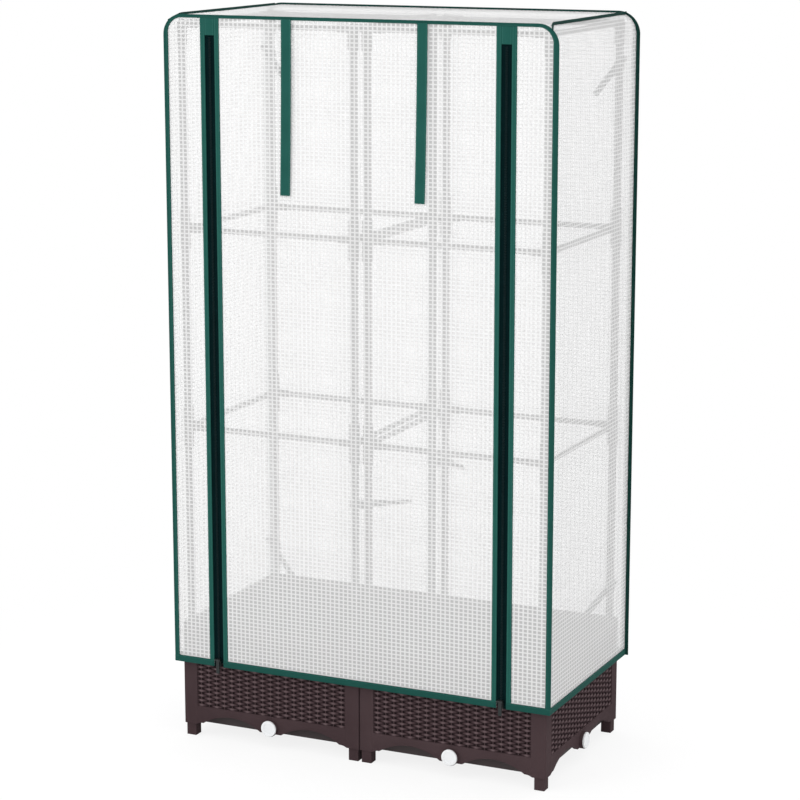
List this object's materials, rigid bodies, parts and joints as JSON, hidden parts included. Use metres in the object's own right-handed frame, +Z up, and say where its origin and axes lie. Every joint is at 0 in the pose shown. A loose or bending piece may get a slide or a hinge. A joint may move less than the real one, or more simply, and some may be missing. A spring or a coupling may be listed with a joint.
{
  "type": "covered planter box with trellis",
  "caption": "Square wicker-look self-watering planter boxes on short legs, each with a tiered tube trellis, under a zipped translucent grid cover with a roll-up door.",
  "frame": {"origin": "on the floor under the middle of the two boxes", "axes": "+X to the right along the row of boxes, +Y from the front to the back, +Z up; the door faces -Y"},
  "size_m": [0.8374, 0.4319, 1.4835],
  "materials": {
    "planter_brown": "moulded polypropylene, dark brown, satin",
    "tray_dark": "moulded polypropylene, dark brown, matt",
    "plug_white": "white moulded plastic",
    "tube_coating": "plastic-coated steel tube, dark grey brown",
    "connector_plastic": "moulded plastic, dark grey brown",
    "tie_webbing": "grey woven strap",
    "grid_film": "translucent film on a woven white grid",
    "green_webbing": "dark green woven binding tape",
    "zip_tape": "near-black woven tape with a nylon coil",
    "zip_metal": "grey painted metal"
  },
  "bodies": {
    "planter": {"left_front_panel": "planter_brown", "left_back_panel": "planter_brown", "left_outer_panel": "planter_brown", "left_inner_panel": "planter_brown", "left_corner_posts": "planter_brown", "left_water_tray": "tray_dark", "left_lower_tubes": "tube_coating", "left_middle_tubes": "tube_coating", "left_upper_tubes": "tube_coating", "left_lower_bars": "tube_coating", "left_middle_bars": "tube_coating", "left_top_bars": "tube_coating", "left_tee_connectors": "connector_plastic", "left_top_connectors": "connector_plastic", "right_front_panel": "planter_brown", "right_back_panel": "planter_brown", "right_outer_panel": "planter_brown", "right_inner_panel": "planter_brown", "right_corner_posts": "planter_brown", "right_water_tray": "tray_dark", "right_lower_tubes": "tube_coating", "right_middle_tubes": "tube_coating", "right_upper_tubes": "tube_coating", "right_lower_bars": "tube_coating", "right_middle_bars": "tube_coating", "right_top_bars": "tube_coating", "right_tee_connectors": "connector_plastic", "right_top_connectors": "connector_plastic", "corner_ties": "tie_webbing", "centre_ties": "tie_webbing"},
    "cover": {"cover_top": "grid_film", "cover_back": "grid_film", "cover_left": "grid_film", "cover_right": "grid_film", "cover_front_left": "grid_film", "cover_front_right": "grid_film", "front_binding": "green_webbing", "back_binding": "green_webbing", "shoulder_bindings": "green_webbing", "hem_binding": "green_webbing", "zip_bindings": "green_webbing", "cover_zip_tapes": "zip_tape", "door_panel": "grid_film", "door_bindings": "green_webbing", "door_zip_tapes": "zip_tape"},
    "door": {"door_hem": "green_webbing"},
    "left_slider": {"left_slider": "zip_metal"},
    "left_pull": {"left_pull": "zip_metal"},
    "left_strap": {"left_strap": "green_webbing"},
    "left_grid": {"left_soil_grid": "tray_dark"},
    "left_front_plug": {"left_front_plug": "plug_white"},
    "left_back_plug": {"left_back_plug": "plug_white"},
    "left_outer_plug": {"left_outer_plug": "plug_white"},
    "right_slider": {"right_slider": "zip_metal"},
    "right_pull": {"right_pull": "zip_metal"},
    "right_strap": {"right_strap": "green_webbing"},
    "right_grid": {"right_soil_grid": "tray_dark"},
    "right_front_plug": {"right_front_plug": "plug_white"},
    "right_back_plug": {"right_back_plug": "plug_white"},
    "right_outer_plug": {"right_outer_plug": "plug_white"}
  },
  "joints": [
    {"name": "cover_lift", "type": "slide", "parent": "planter", "child": "cover", "axis": [0, 0, 1], "range_m": [0, 1.32]},
    {"name": "door_lift", "type": "slide", "parent": "cover", "child": "door", "axis": [0, 0, 1], "range_m": [0, 1.15], "deforming": ["door_panel", "door_bindings", "door_zip_tapes"]},
    {"name": "left_zip", "type": "slide", "parent": "cover", "child": "left_slider", "axis": [0, 0, 1], "range_m": [0, 1.15]},
    {"name": "left_pull_swing", "type": "hinge", "parent": "left_slider", "child": "left_pull", "pos_m": [-0.31115, -0.21695, 0.1764], "axis": [-1, 0, 0], "range_deg": [0, 150]},
    {"name": "left_strap_swing", "type": "hinge", "parent": "cover", "child": "left_strap", "pos_m": [-0.14265, -0.2137, 1.47247], "axis": [-1, 0, 0], "range_deg": [0, 120]},
    {"name": "left_grid_lift", "type": "slide", "parent": "planter", "child": "left_grid", "axis": [0, 0, 1], "range_m": [0, 0.15]},
    {"name": "left_front_drain", "type": "slide", "parent": "planter", "child": "left_front_plug", "axis": [0, -1, 0], "range_m": [0, 0.035]},
    {"name": "left_back_drain", "type": "slide", "parent": "planter", "child": "left_back_plug", "axis": [0, 1, 0], "range_m": [0, 0.035]},
    {"name": "left_outer_drain", "type": "slide", "parent": "planter", "child": "left_outer_plug", "axis": [-1, 0, 0], "range_m": [0, 0.035]},
    {"name": "right_zip", "type": "slide", "parent": "cover", "child": "right_slider", "axis": [0, 0, 1], "range_m": [0, 1.15]},
    {"name": "right_pull_swing", "type": "hinge", "parent": "right_slider", "child": "right_pull", "pos_m": [0.31115, -0.21695, 0.1764], "axis": [-1, 0, 0], "range_deg": [0, 150]},
    {"name": "right_strap_swing", "type": "hinge", "parent": "cover", "child": "right_strap", "pos_m": [0.14265, -0.2137, 1.47247], "axis": [-1, 0, 0], "range_deg": [0, 120]},
    {"name": "right_grid_lift", "type": "slide", "parent": "planter", "child": "right_grid", "axis": [0, 0, 1], "range_m": [0, 0.15]},
    {"name": "right_front_drain", "type": "slide", "parent": "planter", "child": "right_front_plug", "axis": [0, -1, 0], "range_m": [0, 0.035]},
    {"name": "right_back_drain", "type": "slide", "parent": "planter", "child": "right_back_plug", "axis": [0, 1, 0], "range_m": [0, 0.035]},
    {"name": "right_outer_drain", "type": "slide", "parent": "planter", "child": "right_outer_plug", "axis": [1, 0, 0], "range_m": [0, 0.035]}
  ],
  "couplings": [
    {"joint": "left_zip", "follows": "door_lift", "ratio": 1},
    {"joint": "right_zip", "follows": "door_lift", "ratio": 1}
  ]
}
